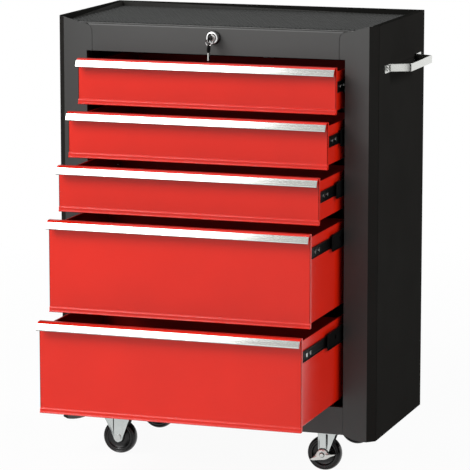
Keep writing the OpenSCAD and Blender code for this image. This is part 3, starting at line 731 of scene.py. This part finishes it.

# %% [markdown]
# ## The drawer fronts
# The CAD solids have sharp folds. The same sheets with round folds replace them, because
# each rounded step mirrors the soft box as a thin line of light. The lip on top faces
# the lamp and would shine too much, so it gets a darker red that paints shade on it.

# %% Helper that folds a front
lip_facing_up = 0.9
front_edge = 0.12 * mm


def fold_front(n):
    face, top, half, height = drawer_place(n)
    mesh = bmesh.new()
    for outline in front_outlines(height):
        push(mesh, moved(outline, face, top), "x", middle_x - half, middle_x + half)
    wall_end = face + front_depth - sheet - weld_gap
    for side in (-1, 1):
        outer = middle_x + side * half
        push(mesh, rectangle((outer - side * sheet, face), (outer, wall_end)), "z",
             top - height, top - sheet - weld_gap)
    piece = finish_piece(f"drawer_{n}_front", mesh, drawer_paint, f"drawer_{n}",
                         "red_paint", f"drawer_{n}_box")
    soften_edges(piece, front_edge, angle=60)
    # The lip's faces get the darker red: painted shade.
    piece.data.materials.append(drawer_lip_shade)
    for sheet_face in piece.data.polygons:
        if sheet_face.normal.z > lip_facing_up and sheet_face.center.z > top - sheet:
            sheet_face.material_index = 1


print("lip stands", round(lip_out / mm, 1), "mm out of the front")

# %% [markdown]
# ## The drawer boxes
#
# Behind each front is an open box: one sheet bent into sides and floor, with a rolled
# bead along the top of each side, and a back wall. Its inner faces get a darker red,
# painted shade that keeps the open drawers dark. Front and box stay two pieces on one
# body, so they slide together, and each drawer is folded whole before the next.

# %% Fold the drawers
box_half = 240 * mm
side_drop = 10 * mm
back_drop = 22 * mm
bead_radius = 1.8 * mm
box_fold_radius = 1.5 * mm


def fold_tray(n):
    face, top, _, height = drawer_place(n)
    floor_z = -height + floor_rise
    mesh = bmesh.new()
    tray = bent_sheet([(-box_half, -side_drop), (-box_half, floor_z),
                       (box_half, floor_z), (box_half, -side_drop)], sheet, box_fold_radius)
    start = face + front_depth + weld_gap
    end = face + drawer_length - sheet - weld_gap
    push(mesh, moved(tray, middle_x, top), "y", start, end)
    for side in (-1, 1):
        bead = ring_of(bead_radius, (middle_x + side * (box_half - bead_radius),
                                     top - side_drop - bead_radius))
        push(mesh, bead, "y", start, end)
    push(mesh, rectangle((middle_x - box_half, end + weld_gap),
                         (middle_x + box_half, face + drawer_length)), "z",
         top + floor_z, top - back_drop)
    piece = finish_piece(f"drawer_{n}_tray", mesh, drawer_paint, f"drawer_{n}", "red_paint")
    # The inner faces get the darker red: painted shade inside the drawer.
    piece.data.materials.append(drawer_inside_shade)
    inside = box_half - sheet / 2
    for side_face in piece.data.polygons:
        spot = side_face.center
        if (abs(spot.x - middle_x) < inside and spot.z > top + floor_z + sheet / 2
                and start < spot.y < end + weld_gap * 2):
            side_face.material_index = 1


for n in range(1, 6):
    fold_front(n)
    fold_tray(n)
print("folded 5 drawers, box", round(2 * box_half / mm), "mm wide")

# %% [markdown]
# ## The pull strips
#
# A strip of anodised aluminium is clipped over each flange. It is tilted, so that it
# mirrors the soft box above while the paint below it doesn't. A thin box would do from
# afar, but it is a bent sheet here too, because the round lower fold and the small hook
# behind show as soon as a drawer is seen from its end.

# %% Clip on the pull strips
hook_wrap = 2 * strip_thickness + sheet
hook_length = 4 * mm
strip_fold_radius = 0.3 * mm
strip_edge = 0.3 * mm


def clip_strip(n):
    face, top, half, _ = drawer_place(n)
    mesh = bmesh.new()
    behind = strip_low + into_strip * hook_wrap
    outline = bent_sheet([strip_top, strip_low, behind, behind - down_strip * hook_length],
                         strip_thickness, strip_fold_radius)
    push(mesh, moved(outline, face, top), "x", middle_x - half, middle_x + half)
    piece = finish_piece(f"drawer_{n}_strip", mesh, pull_metal, f"drawer_{n}",
                         "pull_aluminium", f"drawer_{n}_pull")
    soften_edges(piece, strip_edge, angle=60)


for n in range(1, 6):
    clip_strip(n)
print("clipped 5 strips")

# %% [markdown]
# ## The mat
#
# The mat on the top is soft rubber with slanting ribs. A bump map would lose them at this
# low angle, so each rib is a small ridge. The ribs run nearly from back to front, and
# each one is cut off where it meets the mat's left or right edge.

# %% Lay the ribbed mat
rib_pitch = 8.4 * mm
rib_height = 1.2 * mm
rib_half = 2.4 * mm
rib_slant = 0.47
rib_sink = 0.2 * mm
mat_edge = 3 * mm


def add_rib(mesh, back, front):
    """One ridge with sloping ends, sunk a little into the mat."""
    across = Vector((1, rib_slant, 0)).normalized() * rib_half
    along = Vector((rib_slant, -1, 0)).normalized() * rib_half
    up, sink = Vector((0, 0, rib_height)), Vector((0, 0, -rib_sink))
    corners = [back - across + sink, back + across + sink, back + along + up,
               front - across + sink, front + across + sink, front - along + up]
    v = [mesh.verts.new(c) for c in corners]
    for face in ((0, 1, 2), (3, 5, 4), (0, 2, 5, 3), (1, 4, 5, 2), (0, 3, 4, 1)):
        mesh.faces.new([v[i] for i in face])


def lay_mat():
    low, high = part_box("top_mat")
    base_top = high.z - rib_height
    left, right, far_y = low.x + mat_edge, high.x - mat_edge, high.y - mat_edge
    run = high.y - low.y - 2 * mat_edge
    mesh = bmesh.new()
    push(mesh, rectangle((low.x, low.y), (high.x, high.y)), "z", low.z, base_top)
    back_x = left - rib_slant * run + rib_pitch
    count = 0
    while back_x < right - rib_pitch:
        first = max(0, (left - back_x) / rib_slant)
        last = min(run, (right - back_x) / rib_slant)
        add_rib(mesh, *(Vector((back_x + rib_slant * way, far_y - way, base_top))
                        for way in (first, last)))
        back_x += rib_pitch
        count += 1
    finish_piece("ribbed_mat", mesh, mat_rubber, "cabinet", "mat", "top_mat")
    return count


print("ribs on the mat:", lay_mat())

# %% [markdown]
# ## A helper for turned pieces
#
# Wheels, lock rings and screw heads are round about one axis. A lathe helper turns a
# list of (radius, distance along the axis) points into such a piece.

# %% Helper for turned pieces
def turn(mesh, profile, centre, axis, count=96):
    """Adds a ring-shaped solid: a closed profile turned about a line along x or y."""
    rings = []
    for i in range(count):
        angle = math.tau * i / count
        ring = []
        for radius, along in profile:
            c, s = radius * math.cos(angle), radius * math.sin(angle)
            offset = Vector((along, c, s)) if axis == "x" else Vector((c, along, s))
            ring.append(mesh.verts.new(centre + offset))
        rings.append(ring)
    for i in range(count):
        near_ring, far_ring = rings[i - 1], rings[i]
        for j in range(len(profile)):
            mesh.faces.new((near_ring[j - 1], near_ring[j], far_ring[j], far_ring[j - 1]))


print("lathe ready")

# %% [markdown]
# ## The wheels
#
# Each wheel is one moulding of hard black rubber: a hub, a sunk web, a raised ring and a
# rounded tread. A cylinder cut with loops could show these, but a turned section gives
# each groove its true radius. Half of the section is written down and mirrored.

# %% Mould the wheels
wheel_section = [
    (4.05, 11), (9.2, 11), (10.2, 10), (11.2, 7.6), (20.4, 7.2), (21.6, 8.2), (22.6, 9.7),
    (24.2, 10.1), (25.6, 9.7), (26.3, 8.6), (27.2, 8.5), (28.6, 9.6), (30.0, 9.0),
    (31.3, 7.2), (32.1, 4.6), (32.5, 1.8),
]


def mould_wheel(node, body):
    low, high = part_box(node)
    centre = (low + high) / 2
    half = [(r * mm, y * mm) for r, y in wheel_section]
    profile = half + [(r, -y) for r, y in reversed(half)]
    mesh = bmesh.new()
    turn(mesh, profile, centre, "y")
    finish_piece(node + "_moulding", mesh, tread_rubber, body, "wheel_rubber", node, sharp=50)


for side in ("left", "right"):
    for end in ("front", "rear"):
        mould_wheel(f"wheel_{side}_{end}", f"wheel_{side}_{end}")
print("moulded 4 wheels")

# %% [markdown]
# ## The section of a fork leg
#
# A caster's fork is pressed from galvanised sheet. Each leg has a raised rib down its
# middle and wings that curve back on both sides, and it ends in a round eye at the axle.
# So its section changes with the height, and one helper gives the section at any height.
# The wings curve away and mirror darker things than the rib does, which shows the shape.

# %% Draw a leg's section
leg_sheet = 2.0 * mm
leg_inner = 13 * mm
leg_heights = [-9, -8.6, -7.5, -5.5, -3, 0, 3, 8, 14, 20, 26, 32]
eye_radius = 9 * mm
eye_tip = 0.01 * mm
eye_drop = 0.3 * mm
rib_rise = 0.6 * mm
wing_drop = 2.4 * mm
wing_slope = 5 * mm
wing_curl = 0.5 * mm


def leg_section(height, left, right, straight, rib):
    """Outer line of a leg at one height over the axle, from its left edge to its right."""
    if height <= 0:
        reach_left = math.sqrt(max(eye_radius ** 2 - height ** 2, 0)) + eye_tip
        reach_right = reach_left
        drop = eye_drop
    else:
        grown = min(1.0, height / straight)
        reach_left = eye_radius + (left - eye_radius) * grown
        reach_right = eye_radius + (right - eye_radius) * grown
        drop = eye_drop + min(wing_drop, wing_slope * grown)
    # Near the eye the leg is too narrow for the full rib, so rib and flanks shrink there.
    rib_left, rib_right = min(rib, reach_left * 0.7), min(rib, reach_right * 0.7)
    flank = min(drop + rib_rise, reach_left * 0.15 + drop * 0.5)
    return [(-reach_left, -drop - wing_curl),
            (-(reach_left + rib_left + flank) / 2, -drop),
            (-rib_left - flank, -drop), (-rib_left, rib_rise),
            (rib_right, rib_rise), (rib_right + flank, -drop),
            ((reach_right + rib_right + flank) / 2, -drop),
            (reach_right, -drop - wing_curl)]


print("leg sheet", round(leg_sheet / mm, 1), "mm")

# %% [markdown]
# ## Pressing a leg
#
# The sections are stacked from the eye up to the plate. The same line moved inward by the
# sheet's thickness closes each section, and faces join every row to the next.

# %% Helper for fork legs
def press_leg(mesh, axle, facing, left, right, top, rib, plate_rise):
    """One leg. Facing is -1 for the front leg of a fork and 1 for the back one."""
    straight = top - plate_rise
    rows = []
    for height in [h * mm for h in leg_heights if h * mm < straight] + [straight, top]:
        outside = [Vector((axle.x + x, axle.y + facing * (leg_inner + leg_sheet + y),
                           axle.z + height))
                   for x, y in leg_section(height, left, right, straight, rib)]
        inside = [point - Vector((0, facing * leg_sheet, 0)) for point in outside]
        rows.append([mesh.verts.new(p) for p in outside + inside[::-1]])
    for low, high in zip(rows, rows[1:]):
        for i in range(len(low)):
            mesh.faces.new((low[i - 1], low[i], high[i], high[i - 1]))
    mesh.faces.new(rows[0])
    mesh.faces.new(rows[-1][::-1])


print("rows in a leg, at most:", len(leg_heights) + 2)

# %% [markdown]
# ## The forks
#
# A swivel fork has two legs under a round crown that turns on the kingpin. Its axle sits
# off the kingpin, so one side of each leg reaches further out. A fixed fork has two wider
# legs under a rectangular plate. The two fixed forks are one piece, as their CAD node is.

# %% Press the forks
crown_radius = 24 * mm
crown_sheet = 3 * mm
swivel_rib, fixed_rib = 6 * mm, 7.5 * mm
fixed_left, fixed_right, fixed_straight = 31 * mm, 23 * mm, 12 * mm
plate_sheet = 2.5 * mm
plate_half = Vector((35, 30)) * mm


def hub_of(wheel):
    low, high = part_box(wheel)
    return (low + high) / 2


def press_swivel_fork(end):
    hub = hub_of(f"wheel_right_{end}")
    low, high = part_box(f"swivel_fork_{end}")
    mesh = bmesh.new()
    for facing in (-1, 1):
        press_leg(mesh, hub, facing, hub.x - low.x, crown_radius, high.z - hub.z,
                  swivel_rib, crown_sheet)
    push(mesh, ring_of(crown_radius, (high.x - crown_radius, hub.y), 48), "z",
         high.z - crown_sheet, high.z)
    finish_piece(f"pressed_fork_{end}", mesh, galvanised, f"caster_fork_{end}",
                 "zinc_steel", f"swivel_fork_{end}", sharp=25)


def press_fixed_forks():
    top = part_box("fixed_forks")[1].z
    mesh = bmesh.new()
    for end in ("front", "rear"):
        hub = hub_of(f"wheel_left_{end}")
        for facing in (-1, 1):
            press_leg(mesh, hub, facing, fixed_left, fixed_right, top - plate_sheet - hub.z,
                      fixed_rib, fixed_straight)
        push(mesh, rectangle((hub.x - plate_half.x, hub.y - plate_half.y),
                             (hub.x + plate_half.x, hub.y + plate_half.y)), "z",
             top - plate_sheet, top)
    finish_piece("pressed_fixed_forks", mesh, galvanised, "cabinet", "zinc_steel",
                 "fixed_forks", sharp=25)


for end in ("front", "rear"):
    press_swivel_fork(end)
press_fixed_forks()
print("pressed 4 forks")

# %% [markdown]
# ## The brake levers
#
# A brake lever is a small plated casting with two wings and a domed middle, held by a
# round bolt head. Its outline is shrunk toward the axle in steps while it rises, which
# gives the dome. The lever's rim and the foot of the bolt get the near-black metal, as
# painted shade, so the small shape reads clearly from afar.

# %% Cast the brake levers
lever_outline = [
    (-4, 11.5), (4, 11.5), (8.5, 8), (12.5, 2.8), (18, 1.8), (26, 2.2), (24.5, 0.2), (16, -3.5),
    (10, -7.5), (4, -10), (-5, -11), (-12, -12), (-19, -12.8), (-26, -11.2), (-20, -7),
    (-15, -1.5), (-11, 5), (-7.5, 9.5),
]
dome = [(1.0, 0), (0.99, 1.3), (0.95, 2.3), (0.86, 3.0), (0.7, 3.7), (0.5, 4.6), (0.4, 4.9)]
dome_sag = 1.0
bolt_head = [(0.3, -4), (5.2, -4), (5.2, -5.0), (4.4, -5.2), (4.2, -6.6), (3.2, -7.4),
             (0.3, -7.7)]
rim_rise = 2.4 * mm
bolt_reach = 5.5 * mm
foot_inner, foot_outer, foot_rise = 4.25 * mm, 5.4 * mm, 4.9 * mm


def cast_lever(end):
    hub = hub_of(f"wheel_right_{end}")
    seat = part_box(f"brake_{end}")[1].y
    mesh = bmesh.new()
    rings = []
    for share, rise in dome:
        sag = dome_sag * (1 - share)
        rings.append([mesh.verts.new((hub.x + x * share * mm, seat - rise * mm,
                                      hub.z + (z * share - sag) * mm))
                      for x, z in lever_outline])
    for low_ring, high_ring in zip(rings, rings[1:]):
        for i in range(len(lever_outline)):
            mesh.faces.new((low_ring[i - 1], low_ring[i], high_ring[i], high_ring[i - 1]))
    mesh.faces.new(rings[0])
    mesh.faces.new(rings[-1][::-1])
    turn(mesh, [(r * mm, y * mm) for r, y in bolt_head], Vector((hub.x, seat, hub.z)), "y", 32)
    lever = finish_piece(f"cast_lever_{end}", mesh, lever_metal, f"brake_{end}", "zinc_steel",
                         f"brake_{end}", sharp=50)
    # Painted shade: the lever's rim and the foot of its bolt get the near-black metal.
    lever.data.materials.append(painted_shade_metal)
    for side_face in lever.data.polygons:
        spot = side_face.center
        away = math.hypot(spot.x - hub.x, spot.z - hub.z)
        rim = away > bolt_reach and spot.y > seat - rim_rise
        bolt_foot = foot_inner < away < foot_outer and spot.y < seat - foot_rise
        if rim or bolt_foot:
            side_face.material_index = 1


for end in ("front", "rear"):
    cast_lever(end)
print("cast 2 levers of", len(lever_outline), "points")

# %% [markdown]
# ## The side handle
#
# The handle is a flat steel strap with four bends. A bevelled curve could make it, but
# the sheet helper keeps the strap's thickness exact through each bend. The bends are
# round, and the one at the front of the grip mirrors the black card as a thin dark line.

# %% Bend the side handle
grip_length = 145 * mm
arm_run = 17 * mm
strap = 2.5 * mm
bend_radius = 2.5 * mm
strap_edge = 0.5 * mm


def bend_handle():
    low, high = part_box("side_handle")
    y = (low.y + high.y) / 2
    grip_end = grip_length / 2
    arm_end = grip_end + arm_run
    foot_end = high.y - y
    line = [(low.x + strap, y - foot_end), (low.x + strap, y - arm_end),
            (high.x, y - grip_end), (high.x, y + grip_end),
            (low.x + strap, y + arm_end), (low.x + strap, y + foot_end)]
    mesh = bmesh.new()
    push(mesh, bent_sheet(line, strap, bend_radius), "z", low.z, high.z)
    piece = finish_piece("strap_handle", mesh, handle_metal, "cabinet", "handle_metal",
                         "side_handle")
    soften_edges(piece, strap_edge, angle=60)


bend_handle()
print("handle bent, grip", round(grip_length / mm), "mm")

# %% [markdown]
# ## The handle's screws
#
# Pan-head screws with a deep round recess. Each head is turned, with the recess as part
# of its profile, which needs no cutting. The shank and the nut sit inside the panel.

# %% Turn the handle's screws
screw_profile = [(1.9, -1.2), (1.9, 1.6), (2.3, 2.1), (3.6, 2.0), (4.7, 1.4), (5.4, 0.5),
                 (5.5, 0.0), (2.5, 0.0), (2.5, -7.0), (0.3, -7.0), (0.3, -1.2)]
screw_rise = 2.2 * mm
nut_half = 4.5 * mm
nut_start, nut_end = 1.5 * mm, 5 * mm


def turn_screws():
    low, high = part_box("handle_screws")
    z = (low.z + high.z) / 2
    head_radius = (high.z - low.z) / 2
    mesh = bmesh.new()
    for y in (low.y + head_radius, high.y - head_radius):
        turn(mesh, [(r * mm, x * mm) for r, x in screw_profile],
             Vector((high.x - screw_rise, y, z)), "x", 36)
        push(mesh, rectangle((y - nut_half, z - nut_half), (y + nut_half, z + nut_half)),
             "x", low.x + nut_start, low.x + nut_end)
    finish_piece("handle_pan_screws", mesh, bright_zinc, "cabinet", "bright_screw",
                 "handle_screws", sharp=40)


turn_screws()
print("2 screws turned")

# %% [markdown]
# ## The lock
#
# A cam lock shows a broad polished ring round a sunk pale face, seated in a thin rosette.
# The ring, the rosette and the barrel behind are one turned profile, and a six-sided nut
# holds the lock from inside. The rosette and the step behind the ring get the near-black
# metal, as painted shade, so that the ring stands out from the panel.

# %% Turn the lock
ring_back = -5.6
lock_profile = [
    (6.6, 22), (9.4, 22), (9.4, 0), (12.2, 0), (12.5, -0.6), (12.5, -3.6), (12.0, -4.6),
    (11.2, -5.0), (11.0, ring_back), (11.0, -12.0), (10.8, -12.7), (10.3, -13.0),
    (7.4, -13.0), (6.9, -12.8), (6.6, -12.2), (6.6, -7.0),
]
lock_nut = [(9.5, 1), (9.5, 7), (14, 7), (14, 1)]
shade_depth = 3 * mm


def turn_lock():
    low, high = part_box("lock_plug")
    centre = Vector(((low.x + high.x) / 2, face_y, (low.z + high.z) / 2))
    mesh = bmesh.new()
    turn(mesh, [(r * mm, y * mm) for r, y in lock_profile], centre, "y", 64)
    turn(mesh, [(r * mm, y * mm) for r, y in lock_nut], centre, "y", 6)
    ring = finish_piece("lock_ring", mesh, chrome, "cabinet", "lock_chrome", "lock_housing",
                        sharp=40)
    # Painted shade: the rosette and the step behind the ring get the near-black metal.
    ring.data.materials.append(painted_shade_metal)
    for side_face in ring.data.polygons:
        if face_y > side_face.center.y > face_y + ring_back * mm - shade_depth:
            side_face.material_index = 1


turn_lock()
print("lock turned from", len(lock_profile), "points")

# %% [markdown]
# ## Two finishes on one key
#
# A key is a steel blade with a moulded plastic head. The CAD mesh of each key holds both,
# so the faces that belong to the steel get a second material. Each face is told apart by
# where it sits: the small ring hangs below the key in the lock, and the spare key's blade
# is everything below its round head.

# %% Give the keys their steel
def steel_below(node, height, steel):
    key = nodes[node]
    key.data.materials.append(steel)
    count = 0
    for side_face in key.data.polygons:
        spot = key.matrix_world @ side_face.center
        if spot.z < height:
            side_face.material_index = 1
            count += 1
    return count


ring_length = 7 * mm
spare_head = 16 * mm
ring_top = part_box("key")[0].z + ring_length
blade_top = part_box("spare_key")[1].z - spare_head
print("ring faces:", steel_below("key", ring_top, chrome),
      "blade faces:", steel_below("spare_key", blade_top, blade_steel))
